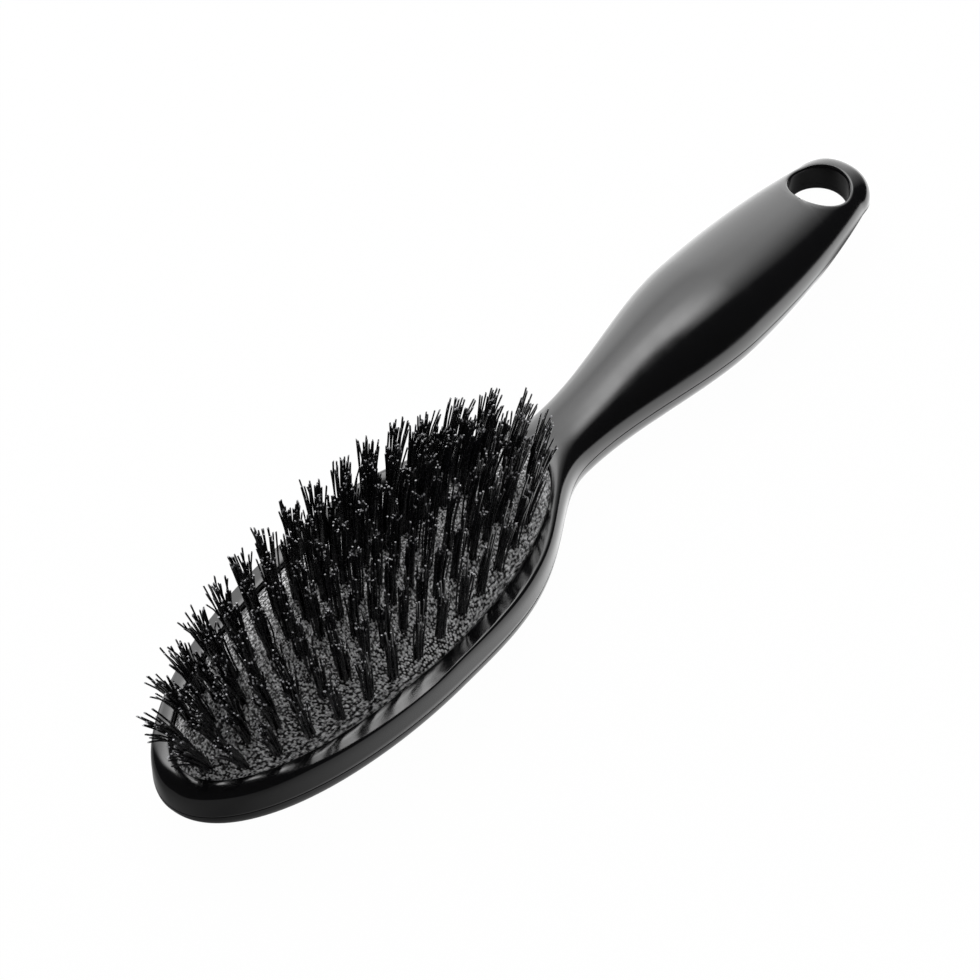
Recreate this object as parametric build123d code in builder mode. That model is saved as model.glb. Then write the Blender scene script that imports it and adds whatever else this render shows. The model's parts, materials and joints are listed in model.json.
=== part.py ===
from build123d import *
import math
import os

# Oval pneumatic cushion hair brush, lying on its back with the bristles up.
# Millimetres. X runs along the brush from the head tip (-X) to the handle end (+X), Y across it, Z up.
# The origin is on the surface that the brush lies on, below the middle of its length.

# ---------------------------------------------------------------- driving dimensions: body
overall_length = 230.0        # head tip to handle end
head_reach = 58.9             # head tip to the middle of the cushion
head_width = 48.7             # widest, across the middle of the cushion
neck_reach = 64.0             # middle of the cushion to the narrowest place of the neck
neck_width = 16.1
grip_reach = 115.0            # middle of the cushion to the widest place of the handle
grip_width = 29.0
end_width = 19.6              # handle width where its rounded end begins
end_round = 9.1               # length of the rounded handle end
seat_height = 13.3            # plane of the cushion's edge
parting_height = 8.0          # plane where the front and back shells meet
rim_edge = 0.6                # rounding of the rim's inner edge
rim_crest = 1.1               # flat crest of the head's rim above the cushion's edge
head_arch = 9.2               # front arch of the head above the parting plane, before its crest is cut flat
neck_rise = 6.2               # front arch of the neck above the parting plane
grip_rise = 9.8               # front arch of the handle at its widest
end_rise = 5.0                # front arch of the handle end
neck_drop = 7.1               # back arch of the neck below the parting plane
grip_drop = 7.9               # back arch of the handle at its widest
end_drop = 0.6                # back arch of the handle end
tip_round = 9.0               # length over which the head tip rounds up to the front arch
back_round = 30.0             # length over which the head tip rounds down to the back arch
end_edge = 5.0                # length over which the handle end rounds over
head_power = 3.5              # squareness of the front arch on the head, where 2 is an ellipse
grip_power = 2.3              # and on the handle
back_power = 2.6              # squareness of the back arch
squareness_start = 32.3       # the front arch turns rounder from this far behind the cushion's middle
tip_power = 2.5               # squareness of the head tip, seen from the side
edge_power = 2.2              # squareness of the other rounded ends, seen from the side
shoulder_power = 3.5          # how long the head keeps its width towards the neck
waist_power = 2.6             # how softly it runs into the neck
taper_power = 2.2             # how late the handle narrows towards its end
rise_power = 1.4              # how late the handle's front falls towards its end
drop_power = 1.6              # how late the handle's back rises towards its end
section_steps = 14            # points along each half section, less one

# ---------------------------------------------------------------- driving dimensions: cushion
cushion_length = 107.6
cushion_width = 39.8
cushion_dome = 5.0            # height of the dome above the cushion's edge
cushion_wall = 1.3            # thickness of the rubber
oval_sides = 36               # flats round the cushion
dome_rings = ((1.0, 0.0), (0.9, 0.24), (0.75, 0.53), (0.55, 0.8), (0.3, 0.97))  # reach and height, as shares
cushion_gap = 0.3             # clearance between the rubber and the rim
flange_reach = 1.6            # how far the cushion's flange reaches under the rim
flange_depth = 1.6            # underside of the rim's ledge below the cushion's edge
flange_thick = 1.3
vent_radius = 0.9             # breathing hole that lets the air out of the cushion
vent_inset = 2.6              # from the cushion's handle end

# ---------------------------------------------------------------- driving dimensions: inside
pocket_gap = 0.4              # clearance round the flange inside the shells
ring_thick = 1.4              # retainer ring under the flange
ring_width = 4.4
ring_gap = 0.2                # clearance round the retainer ring
rib_thick = 1.4               # upstanding wall of the back shell that carries the ring
ring_seat = 1.2               # step in the back shell below the parting plane, round the rib
floor_wall = 3.4              # back shell under the air chamber
side_wall = 3.4               # shell beside the handle's cavities
cavity_depth = 4.2            # depth of each handle cavity from the parting plane
cavity_start = 6.0            # cavity begins this far behind the neck
cavity_end = 25.6             # and ends this far before the hanging hole's centre
pin_radius = 1.6
pin_fit = 0.15                # clearance of a locating pin in its socket
pin_reach = 2.5               # how far a pin stands into the back shell
boss_wall = 1.5
pin_inset = 2.0               # outermost pins' bosses from the ends of the cavity

# ---------------------------------------------------------------- driving dimensions: hanging hole
bore_radius = 7.0
bore_inset = 13.4             # centre of the hole from the handle end
bore_edge = 0.9               # rounding of the hole's rims

# ---------------------------------------------------------------- driving dimensions: bristle tufts
tuft_height = 18.3            # above the rubber
heel_tuft_height = 16.0       # of the tufts round the cushion's handle end
tuft_root = 1.3               # radius of the bundle where it leaves the rubber
tuft_tip = 2.1                # radius of the bundle at its ends
tuft_fit = 0.1                # clearance of a tuft in its hole
button_radius = 1.6           # root button that holds the tuft under the rubber
button_thick = 0.8
button_gap = 0.3              # between the button and the rubber
ring_inset = 3.2              # outermost ring of tufts from the cushion's edge
ring_step = 5.65              # from one ring to the next
heel_shift = 2.4              # the outermost ring keeps this much further from the cushion's handle end
outer_pitch = 7.1             # spacing along the outermost ring
inner_pitch = 5.75            # spacing along the other rings and the middle row
row_tufts = 8                 # in the middle row
lean_tip = 25.0               # outward lean at the head tip, degrees
lean_heel = 9.0               # outward lean at the handle end of the cushion
lean_side = 5.0               # outward lean at the cushion's sides
first_root_share = 0.008      # how far round its ring the first root of the outermost ring is moved
end_sector = 0.62             # a ring's tufts beyond this share of its half length are its end groups
crown_reach = 13.45           # the middle row's own middle group reaches this far from the cushion's middle

# ---------------------------------------------------------------- derived places
tip_x = -overall_length / 2
end_x = overall_length / 2
cushion_x = tip_x + head_reach
neck_x = cushion_x + neck_reach
grip_x = cushion_x + grip_reach
end_centre_x = end_x - end_round
bore_x = end_x - bore_inset
half_length = cushion_length / 2
half_width = cushion_width / 2
ledge_z = seat_height - flange_depth
flange_z = ledge_z - flange_thick
ring_z = flange_z - ring_thick
head_drop = parting_height


def ease(t):
    """Smooth step from 0 to 1 with level ends."""
    t = min(max(t, 0.0), 1.0)
    return t * t * (3 - 2 * t)


def round_over(distance, length, power):
    """Rounded edge: 0 at the very end, 1 from the given length inwards."""
    if distance >= length:
        return 1.0
    return (1 - (1 - distance / length) ** power) ** (1 / power)


def body_half_width(x):
    """Half the width of the outline in plan."""
    head, neck, grip, end = head_width / 2, neck_width / 2, grip_width / 2, end_width / 2
    if x <= cushion_x:
        return head * math.sqrt(1 - ((cushion_x - x) / head_reach) ** 2)
    if x <= neck_x:
        return neck + (head - neck) * (1 - ((x - cushion_x) / neck_reach) ** shoulder_power) ** waist_power
    if x <= grip_x:
        return neck + (grip - neck) * ease((x - neck_x) / (grip_x - neck_x))
    if x <= end_centre_x:
        return grip - (grip - end) * ((x - grip_x) / (end_centre_x - grip_x)) ** taper_power
    return end * math.sqrt(1 - ((x - end_centre_x) / end_round) ** 2)


def front_rise(x):
    """Height of the front arch above the parting plane."""
    if x <= neck_x:
        arch = head_arch - (head_arch - neck_rise) * ease((x - cushion_x - neck_reach / 2) / (neck_reach / 2))
        return arch * round_over(x - tip_x, tip_round, tip_power)
    if x <= grip_x:
        return neck_rise + (grip_rise - neck_rise) * ease((x - neck_x) / (grip_x - neck_x))
    arch = grip_rise - (grip_rise - end_rise) * ((x - grip_x) / (end_x - grip_x)) ** rise_power
    return arch * round_over(end_x - x, end_edge, edge_power)


def back_drop(x):
    """Depth of the back arch below the parting plane."""
    if x <= cushion_x:
        return head_drop * round_over(x - tip_x, back_round, edge_power)
    if x <= neck_x:
        return head_drop - (head_drop - neck_drop) * ease((x - cushion_x) / neck_reach)
    if x <= grip_x:
        return neck_drop + (grip_drop - neck_drop) * ease((x - neck_x) / (grip_x - neck_x))
    arch = grip_drop - (grip_drop - end_drop) * ((x - grip_x) / (end_x - grip_x)) ** drop_power
    return arch * round_over(end_x - x, end_edge, edge_power)


def front_power(x):
    """Squareness of the front arch: boxy on the head, round on the handle."""
    return head_power - (head_power - grip_power) * ease((x - cushion_x - squareness_start) / neck_reach)


def section_places():
    """X of each cross section, closer together where the ends round off."""
    tip = [tip_x + head_reach * s for s in (0.004, 0.02, 0.055, 0.11, 0.2, 0.34, 0.55, 0.78, 1.0)]
    head = [cushion_x + neck_reach * s for s in (0.2, 0.38, 0.53, 0.67, 0.8, 0.9, 1.0)]
    neck = [neck_x + (grip_x - neck_x) * s for s in (0.2, 0.45, 0.72, 1.0)]
    grip = [grip_x + (end_centre_x - grip_x) * s for s in (0.35, 0.68, 0.87, 1.0)]
    end = [end_centre_x + end_round * s for s in (0.35, 0.65, 0.85, 0.95, 0.99)]
    return tip + head + neck + grip + end


def arch_section(x, height, power):
    """Half section of the body at x, from the parting plane up, or down where the height is negative."""
    across = body_half_width(x)
    places = [math.pi * i / section_steps for i in range(section_steps + 1)]
    points = [
        (
            across * math.copysign(abs(math.cos(a)) ** (2 / power), math.cos(a)),
            height * math.sin(a) ** (2 / power) if 0 < a < math.pi else 0.0,
        )
        for a in places
    ]
    points[section_steps // 2] = (0.0, height)
    with BuildSketch(Plane(origin=(x, 0, parting_height), x_dir=(0, 1, 0), z_dir=(1, 0, 0))) as section:
        with BuildLine():
            Spline(*points)
            Line(points[-1], points[0])
        make_face()
    return section.sketch.face()


def dome_height(x, y):
    """Height of the rubber's outer surface above the cushion's edge."""
    reach = math.hypot((x - cushion_x) / half_length, y / half_width)
    inner, inner_share = 0.0, 1.0
    for outer, outer_share in reversed(dome_rings):
        if reach <= outer:
            return cushion_dome * (inner_share + (outer_share - inner_share) * (reach - inner) / (outer - inner))
        inner, inner_share = outer, outer_share
    return 0.0


def oval_points(length, width, z):
    """Corners of a flat-sided oval round the middle of the cushion."""
    turns = [2 * math.pi * i / oval_sides for i in range(oval_sides)]
    return [(cushion_x + length * math.cos(t), width * math.sin(t), z) for t in turns]


def dome_points(length, width, height):
    """Corners of the dome's facets, from its foot on the plane of the cushion's edge to its top."""
    points = [(cushion_x, 0, seat_height + height)]
    for reach, share in dome_rings:
        points += oval_points(length * reach, width * reach, seat_height + height * share)
    return points


def oval_prism(length, width, low, high):
    """Upright flat-sided oval between two heights."""
    return oval_points(length, width, low) + oval_points(length, width, high)


def handle_cavity():
    """Outline of the cavity in each half of the handle, on the parting plane."""
    first = neck_x + cavity_start
    last = bore_x - cavity_end
    places = [first + (last - first) * i / 5 for i in range(6)]
    side = [(x, body_half_width(x) - side_wall) for x in places]
    with BuildSketch(Plane.XY.offset(parting_height)) as outline:
        with BuildLine():
            Spline(*side)
            Spline(*[(x, -y) for x, y in side])
            Line(side[0], (side[0][0], -side[0][1]))
            Line(side[-1], (side[-1][0], -side[-1][1]))
        make_face()
    return outline.sketch.face()


def is_bore_rim(edge):
    """Whether an edge is one of the hanging hole's rims."""
    return abs(edge.length - 2 * math.pi * bore_radius) < 1 and edge.bounding_box().min.X > bore_x - 2 * bore_radius


def pin_places():
    """Where the two shells are located on each other, along the middle of the handle."""
    first = neck_x + cavity_start + pin_radius + boss_wall + pin_inset
    last = bore_x - cavity_end - pin_radius - boss_wall - pin_inset
    return [(first + (last - first) * s, 0) for s in (0.0, 0.5, 1.0)]


# ---------------------------------------------------------------- front shell
pocket_length = half_length + cushion_gap + flange_reach + pocket_gap
pocket_width = half_width + cushion_gap + flange_reach + pocket_gap
crest_z = seat_height + rim_crest

with BuildPart() as front_shell:
    loft([arch_section(x, front_rise(x), front_power(x)) for x in section_places()])
    # the crest of the rim is flat
    with BuildSketch(Plane.XY.offset(crest_z)):
        with Locations((cushion_x, 0)):
            Rectangle(2 * neck_reach, 2 * head_width)
    extrude(amount=head_arch, mode=Mode.SUBTRACT)
    # opening that the cushion bulges through
    with BuildSketch(Plane.XY.offset(parting_height)):
        with Locations((cushion_x, 0)):
            Ellipse(half_length + cushion_gap, half_width + cushion_gap)
    extrude(amount=head_arch, mode=Mode.SUBTRACT)
    rim_edges = front_shell.edges().filter_by_position(Axis.Z, crest_z - 0.01, crest_z + 0.01)
    fillet(rim_edges.sort_by(SortBy.LENGTH)[-2], radius=rim_edge)
    # seat of the flange below the rim's ledge
    with BuildSketch(Plane.XY.offset(parting_height)):
        with Locations((cushion_x, 0)):
            Ellipse(pocket_length, pocket_width)
    extrude(amount=ledge_z - parting_height, mode=Mode.SUBTRACT)
    # handle cavity with its locating pins
    extrude(handle_cavity(), amount=cavity_depth, dir=(0, 0, 1), mode=Mode.SUBTRACT)
    with BuildSketch(Plane.XY.offset(parting_height - pin_reach)):
        with Locations(*pin_places()):
            Circle(pin_radius)
    extrude(amount=pin_reach + cavity_depth)
    # hanging hole
    with BuildSketch(Plane.XY.offset(parting_height)):
        with Locations((bore_x, 0)):
            Circle(bore_radius)
    extrude(amount=grip_rise, mode=Mode.SUBTRACT)
    fillet(front_shell.edges().filter_by(is_bore_rim).sort_by(Axis.Z)[-1], radius=bore_edge)
front_shell.part.label = "front_shell"

# ---------------------------------------------------------------- back shell
rib_length = half_length - ring_width / 2
rib_width = half_width - ring_width / 2

with BuildPart() as back_shell:
    loft([arch_section(x, -back_drop(x), back_power) for x in section_places()])
    # seat of the retainer ring, then the air chamber behind the cushion
    with BuildSketch(Plane.XY.offset(parting_height)):
        with Locations((cushion_x, 0)):
            Ellipse(pocket_length, pocket_width)
    extrude(amount=-ring_seat, mode=Mode.SUBTRACT)
    with BuildSketch(Plane.XY.offset(parting_height)):
        with Locations((cushion_x, 0)):
            Ellipse(rib_length - rib_thick, rib_width - rib_thick)
    extrude(amount=floor_wall - parting_height, mode=Mode.SUBTRACT)
    # upstanding oval wall that carries the retainer ring
    with BuildSketch(Plane.XY.offset(parting_height - ring_seat)):
        with Locations((cushion_x, 0)):
            Ellipse(rib_length, rib_width)
            Ellipse(rib_length - rib_thick, rib_width - rib_thick, mode=Mode.SUBTRACT)
    extrude(amount=ring_z - parting_height + ring_seat)
    # handle cavity with the sockets of the locating pins
    extrude(handle_cavity(), amount=cavity_depth, dir=(0, 0, -1), mode=Mode.SUBTRACT)
    with BuildSketch(Plane.XY.offset(parting_height)):
        with Locations(*pin_places()):
            Circle(pin_radius + pin_fit + boss_wall)
            Circle(pin_radius + pin_fit, mode=Mode.SUBTRACT)
    extrude(amount=-cavity_depth)
    # hanging hole
    with BuildSketch(Plane.XY.offset(parting_height)):
        with Locations((bore_x, 0)):
            Circle(bore_radius)
    extrude(amount=-parting_height, mode=Mode.SUBTRACT)
    fillet(back_shell.edges().filter_by(is_bore_rim).sort_by(Axis.Z)[0], radius=bore_edge)
back_shell.part.label = "back_shell"

# ---------------------------------------------------------------- retainer ring
with BuildPart() as retainer_ring:
    with BuildSketch(Plane.XY.offset(ring_z)):
        with Locations((cushion_x, 0)):
            Ellipse(pocket_length - ring_gap, pocket_width - ring_gap)
            Ellipse(pocket_length - ring_gap - ring_width, pocket_width - ring_gap - ring_width, mode=Mode.SUBTRACT)
    extrude(amount=ring_thick)
retainer_ring.part.label = "retainer_ring"


# ---------------------------------------------------------------- bristle tufts
def ring_places(ring, pitch, offset=0.0):
    """Roots spaced evenly along one of the ovals of tufts, counted inwards from the outermost."""
    inset = ring_inset + ring * ring_step
    oval = Edge.make_ellipse(half_length - inset, half_width - inset)
    count = round(oval.length / pitch)
    points = [oval @ ((i / count + offset) % 1) for i in range(count)]
    shift = heel_shift / 2**ring
    return [(cushion_x + p.X - shift * max(0.0, p.X / half_length) ** 2, p.Y) for p in points]


def row_places(pitch):
    """Roots of the straight row along the cushion's middle, staggered against the innermost ring."""
    return [(cushion_x + (i - (row_tufts - 1) / 2) * pitch, 0.0) for i in range(row_tufts)]


def tuft_frame(x, y):
    """Place and direction of a tuft: its root on the dome, leaning outward like a fan."""
    along, across = (x - cushion_x) / half_length, y / half_width
    pitch_angle = along * (lean_heel if along > 0 else lean_tip)
    roll_angle = across * lean_side
    root = (x, y, seat_height + dome_height(x, y))
    return Location(root, (-roll_angle, pitch_angle, 0))


def bristle_tuft(height):
    """One tuft standing on its root, with its root button under the rubber."""
    with BuildPart() as tuft:
        # bundle of bristles, spreading from its root to its ends
        with BuildSketch(Plane.XY.offset(-cushion_wall - button_gap)):
            RegularPolygon(tuft_root, 6)
        extrude(amount=cushion_wall + button_gap)
        with BuildSketch():
            RegularPolygon(tuft_root, 6)
        with BuildSketch(Plane.XY.offset(height)):
            RegularPolygon(tuft_tip, 6)
        loft()
        # root button
        with BuildSketch(Plane.XY.offset(-cushion_wall - button_gap)):
            RegularPolygon(button_radius, 6)
        extrude(amount=-button_thick)
    return tuft.part


with BuildPart() as tuft_hole:
    with BuildSketch(Plane.XY.offset(-2 * cushion_wall)):
        RegularPolygon(tuft_root + tuft_fit, 6)
    extrude(amount=3 * cushion_wall)

rings = {
    "outer": ring_places(0, outer_pitch, first_root_share),
    "middle": ring_places(1, inner_pitch),
    "inner": ring_places(2, inner_pitch),
}


def sector(x, y, reach):
    """Which part of a ring a root belongs to."""
    if abs(x - cushion_x) > end_sector * reach:
        return "heel" if x > cushion_x else "tip"
    return "left" if y > 0 else "right"


tuft_groups = {}
for ring, (name, places) in enumerate(rings.items()):
    reach = half_length - ring_inset - ring * ring_step
    for x, y in places:
        tuft_groups.setdefault(f"tufts_{name}_{sector(x, y, reach)}", []).append((x, y))
for x, y in row_places(inner_pitch):
    third = "middle" if abs(x - cushion_x) < crown_reach else "heel" if x > cushion_x else "tip"
    tuft_groups.setdefault(f"tufts_centre_{third}", []).append((x, y))

full_tuft, heel_tuft = bristle_tuft(tuft_height), bristle_tuft(heel_tuft_height)
tuft_nodes = []
for name, places in tuft_groups.items():
    with BuildPart() as tufts:
        with Locations(*[tuft_frame(x, y) for x, y in places]):
            add(heel_tuft if name in ("tufts_outer_heel", "tufts_middle_heel") else full_tuft)
    tufts.part.label = name
    tuft_nodes.append(tufts.part)

# ---------------------------------------------------------------- rubber cushion
inner_length, inner_width = half_length - cushion_wall, half_width - cushion_wall
flange_length, flange_width = half_length + cushion_gap + flange_reach, half_width + cushion_gap + flange_reach

with BuildPart() as cushion_pad:
    # flange clamped under the rim, upright wall through the rim's opening, and the dome
    ConvexPolyhedron(oval_prism(flange_length, flange_width, flange_z, ledge_z))
    ConvexPolyhedron(oval_prism(half_length, half_width, flange_z, seat_height))
    ConvexPolyhedron(dome_points(half_length, half_width, cushion_dome))
    # air inside
    ConvexPolyhedron(oval_prism(inner_length, inner_width, flange_z, seat_height), mode=Mode.SUBTRACT)
    ConvexPolyhedron(dome_points(inner_length, inner_width, cushion_dome - cushion_wall), mode=Mode.SUBTRACT)
    with Locations(*[tuft_frame(x, y) for places in tuft_groups.values() for x, y in places]):
        add(tuft_hole.part, mode=Mode.SUBTRACT)
    # breathing hole
    with BuildSketch(Plane.XY.offset(flange_z)):
        with Locations((cushion_x + half_length - vent_inset, 0)):
            RegularPolygon(vent_radius, 6)
    extrude(amount=cushion_dome + seat_height, mode=Mode.SUBTRACT)
cushion_pad.part.label = "cushion_pad"

# ---------------------------------------------------------------- write every piece
os.makedirs("parts", exist_ok=True)
for piece in (front_shell.part, back_shell.part, retainer_ring.part, cushion_pad.part, *tuft_nodes):
    print(piece.label, piece.is_valid, len(piece.solids()), round(piece.volume))
    export_step(piece, f"parts/{piece.label}.step")
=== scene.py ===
import json
import math
import random

import bpy
from mathutils import Matrix, Vector


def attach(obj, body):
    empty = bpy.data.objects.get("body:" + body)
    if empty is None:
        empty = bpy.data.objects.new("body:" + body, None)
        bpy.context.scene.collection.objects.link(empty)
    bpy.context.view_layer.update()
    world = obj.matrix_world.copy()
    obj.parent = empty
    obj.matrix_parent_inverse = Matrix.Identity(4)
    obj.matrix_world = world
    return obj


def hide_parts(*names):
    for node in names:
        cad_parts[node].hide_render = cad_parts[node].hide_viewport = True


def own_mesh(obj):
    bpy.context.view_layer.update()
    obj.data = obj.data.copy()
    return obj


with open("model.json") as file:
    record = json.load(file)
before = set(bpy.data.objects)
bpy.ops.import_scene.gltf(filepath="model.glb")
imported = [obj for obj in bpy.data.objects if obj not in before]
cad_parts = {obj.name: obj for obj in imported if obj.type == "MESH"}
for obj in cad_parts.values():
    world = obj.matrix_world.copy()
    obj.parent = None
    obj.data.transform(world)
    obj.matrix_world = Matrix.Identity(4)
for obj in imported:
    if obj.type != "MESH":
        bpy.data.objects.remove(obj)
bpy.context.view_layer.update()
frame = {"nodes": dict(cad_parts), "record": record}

# Oval cushion hair brush lying on its back. Shapes are worked out in millimetres, in the frame's own axes:
# X from the head tip to the handle end, Y across, Z up from the surface that the brush lies on.
MM = 0.001

# ---------------------------------------------------------------- sizes of the moulded body
TIP_X, END_X = -115.0, 115.0
CUSHION_X = -56.1
HEAD_REACH, HEAD_HALF = 58.9, 24.35
NECK_REACH, NECK_HALF = 64.0, 8.05
NECK_X = CUSHION_X + NECK_REACH
GRIP_X, GRIP_HALF = 58.9, 14.5
END_CENTRE_X, END_ROUND, END_HALF = 105.9, 9.1, 9.8
PARTING_Z = 8.0
SEAT_Z = 13.3
CREST_Z = 14.5
HEAD_ARCH, NECK_RISE, GRIP_RISE, END_RISE = 9.2, 6.2, 9.8, 5.0
NECK_DROP, GRIP_DROP, END_DROP = 7.1, 7.9, 0.6
OPEN_LONG, OPEN_WIDE = 54.1, 20.2
LEDGE_Z = 11.7
POCKET = 2.0

# how the outline and the arches curve between those sizes
SHOULDER_POWER, NECK_POWER, END_POWER = 3.5, 2.6, 2.2
FRONT_END_POWER, BACK_END_POWER, BACK_POWER = 1.4, 1.6, 2.6
TIP_ROUND, TIP_ROUND_POWER = 9.0, 2.5
BACK_TIP_ROUND, BACK_TIP_POWER = 30.0, 2.2
END_ARCH_ROUND, END_ARCH_POWER = 5.0, 2.2

# the rim round the cushion: places along the head are counted from the cushion's middle
RIM_LIP = 0.4
RIM_SLOPE, RIM_SLOPE_DROP = 1.6, 0.2
RIM_WIDTH = 4.0
CREST_BLEND, TIP_BLEND = 0.7, 3.2
TIP_BLEND_START, TIP_BLEND_REACH = 36, 18
RIM_POWER, HANDLE_POWER_LOSS, HANDLE_POWER_START = 3.5, 1.2, 32.3
RIM_SQUARE, RIM_SQUARE_REACH, RIM_SQUARE_SHIFT = 4.0, 36.0, 7
LEAN_OUT, LEAN_IN = 0.09, 0.2
LEAN_TURN, LEAN_STOP, LEAN_REACH = -8, 26, 10
CREST_END_X, CREST_END_REACH, CREST_END_RISE = -2, 20, 6
BORE_X, BORE_RADIUS, BORE_LIP = 101.6, 7.0, 0.9

# ---------------------------------------------------------------- sizes of the cushion and its tufts
PAD_LONG, PAD_WIDE, PAD_DOME = 53.8, 19.9, 5.0
ROOT_DEPTH = 2.4


def ease(t):
    """A soft step from 0 to 1 while t goes from 0 to 1."""
    t = min(max(t, 0.0), 1.0)
    return t * t * (3 - 2 * t)


def round_over(distance, length, power):
    """Share of the full height near a rounded end."""
    if distance >= length:
        return 1.0
    return (1 - (1 - max(distance, 0.0) / length) ** power) ** (1 / power)


def half_width(x):
    """Half the width of the brush's outline in plan."""
    if x <= CUSHION_X:
        return HEAD_HALF * math.sqrt(max(0.0, 1 - ((CUSHION_X - x) / HEAD_REACH) ** 2))
    if x <= NECK_X:
        narrowing = (1 - ((x - CUSHION_X) / NECK_REACH) ** SHOULDER_POWER) ** NECK_POWER
        return NECK_HALF + (HEAD_HALF - NECK_HALF) * narrowing
    if x <= GRIP_X:
        return NECK_HALF + (GRIP_HALF - NECK_HALF) * ease((x - NECK_X) / (GRIP_X - NECK_X))
    if x <= END_CENTRE_X:
        return GRIP_HALF - (GRIP_HALF - END_HALF) * ((x - GRIP_X) / (END_CENTRE_X - GRIP_X)) ** END_POWER
    return END_HALF * math.sqrt(max(0.0, 1 - ((x - END_CENTRE_X) / END_ROUND) ** 2))


def front_rise(x):
    """Height of the front half's arch above the parting plane, along the middle."""
    if x <= NECK_X:
        fall = ease((x - CUSHION_X - NECK_REACH / 2) / (NECK_REACH / 2))
        high = HEAD_ARCH - (HEAD_ARCH - NECK_RISE) * fall
        return high * round_over(x - TIP_X, TIP_ROUND, TIP_ROUND_POWER)
    if x <= GRIP_X:
        return NECK_RISE + (GRIP_RISE - NECK_RISE) * ease((x - NECK_X) / (GRIP_X - NECK_X))
    high = GRIP_RISE - (GRIP_RISE - END_RISE) * ((x - GRIP_X) / (END_X - GRIP_X)) ** FRONT_END_POWER
    return high * round_over(END_X - x, END_ARCH_ROUND, END_ARCH_POWER)


def back_drop(x):
    """Depth of the back half's arch below the parting plane, along the middle."""
    if x <= CUSHION_X:
        return PARTING_Z * round_over(x - TIP_X, BACK_TIP_ROUND, BACK_TIP_POWER)
    if x <= NECK_X:
        return PARTING_Z - (PARTING_Z - NECK_DROP) * ease((x - CUSHION_X) / NECK_REACH)
    if x <= GRIP_X:
        return NECK_DROP + (GRIP_DROP - NECK_DROP) * ease((x - NECK_X) / (GRIP_X - NECK_X))
    deep = GRIP_DROP - (GRIP_DROP - END_DROP) * ((x - GRIP_X) / (END_X - GRIP_X)) ** BACK_END_POWER
    return deep * round_over(END_X - x, END_ARCH_ROUND, END_ARCH_POWER)


def front_power(x):
    """Squareness of the front arch: boxy on the head, most near the cushion's middle, less on the handle."""
    boxy = RIM_SQUARE * math.exp(-(((x - CUSHION_X + RIM_SQUARE_SHIFT) / RIM_SQUARE_REACH) ** 2))
    return RIM_POWER + boxy - HANDLE_POWER_LOSS * ease((x - CUSHION_X - HANDLE_POWER_START) / NECK_REACH)


def soft_lower(a, b, blend):
    """The lower of two heights, with a rounded corner where they cross."""
    h = max(blend - abs(a - b), 0.0) / blend
    return min(a, b) - h * h * blend / 4


def arch(x, y, height, power):
    """Height of an arch over the outline's width, full in the middle and nothing at the outline."""
    across = half_width(x)
    if across < 1e-6:
        return 0.0
    share = min(abs(y) / across, 1.0)
    return height * (1 - share**power) ** (1 / power)


def opening_distance(x, y):
    """Roughly how far a place is outside the cushion's opening and outside the hanging hole."""
    u, v = (x - CUSHION_X) / OPEN_LONG, y / OPEN_WIDE
    reach = math.hypot(u, v)
    slope = math.hypot(u / OPEN_LONG, v / OPEN_WIDE) / max(reach, 1e-6)
    return (reach - 1) / max(slope, 1e-6), math.hypot(x - BORE_X, y) - BORE_RADIUS


def lip(distance, radius):
    """How far a rounded lip has dropped at a distance from its opening."""
    inside = radius - min(max(distance, 0.0), radius)
    return radius - math.sqrt(max(0.0, radius * radius - inside * inside))


def rim_lean(x):
    """Slope of the rim's top across the rim: outward beside the tip half, inward beside the heel half."""
    turned = ease((x - CUSHION_X - LEAN_TURN) / LEAN_REACH)
    inward = turned - ease((x - CUSHION_X - LEAN_STOP) / LEAN_REACH)
    return -LEAN_OUT * (1 - turned) + LEAN_IN * inward


def front_height(x, y):
    """Height of the front surface: the arch cut down to the rim's crest, with lips at the two openings."""
    top = PARTING_Z + arch(x, y, front_rise(x), front_power(x))
    rim, bore = opening_distance(x, y)
    crest = CREST_Z - RIM_SLOPE_DROP * max(0.0, 1 - max(rim, 0.0) / RIM_SLOPE) ** 2
    crest += rim_lean(x) * (min(max(rim, 0.0), RIM_WIDTH) - RIM_WIDTH / 2)
    crest += CREST_END_RISE * ease((x - CREST_END_X) / CREST_END_REACH)
    near_tip = ease((CUSHION_X - TIP_BLEND_START - x) / TIP_BLEND_REACH)
    blend = CREST_BLEND + (TIP_BLEND - CREST_BLEND) * near_tip
    top = soft_lower(top, crest, blend)
    return top - lip(rim, RIM_LIP) - lip(bore, BORE_LIP)


def back_height(x, y):
    low = PARTING_Z - arch(x, y, back_drop(x), BACK_POWER)
    return low + lip(opening_distance(x, y)[1], BORE_LIP)


# ---------------------------------------------------------------- mesh helpers
def start_object(name):
    """The primitive that was just added, named and left in object mode."""
    obj = bpy.context.active_object
    obj.name = name
    obj.data.name = name
    return obj


def only(obj):
    bpy.ops.object.select_all(action="DESELECT")
    bpy.context.view_layer.objects.active = obj
    obj.select_set(True)


def woven_grid(name, columns, rows, place):
    """A grid of columns by rows whose vertices are moved to place(column, row), in millimetres."""
    bpy.ops.object.select_all(action="DESELECT")
    bpy.ops.mesh.primitive_grid_add(x_subdivisions=columns - 1, y_subdivisions=rows - 1, size=1)
    obj = start_object(name)
    coords = []
    for row in range(rows):
        for column in range(columns):
            coords.extend(c * MM for c in place(column, row))
    obj.data.vertices.foreach_set("co", coords)
    obj.data.update()
    return obj


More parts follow.
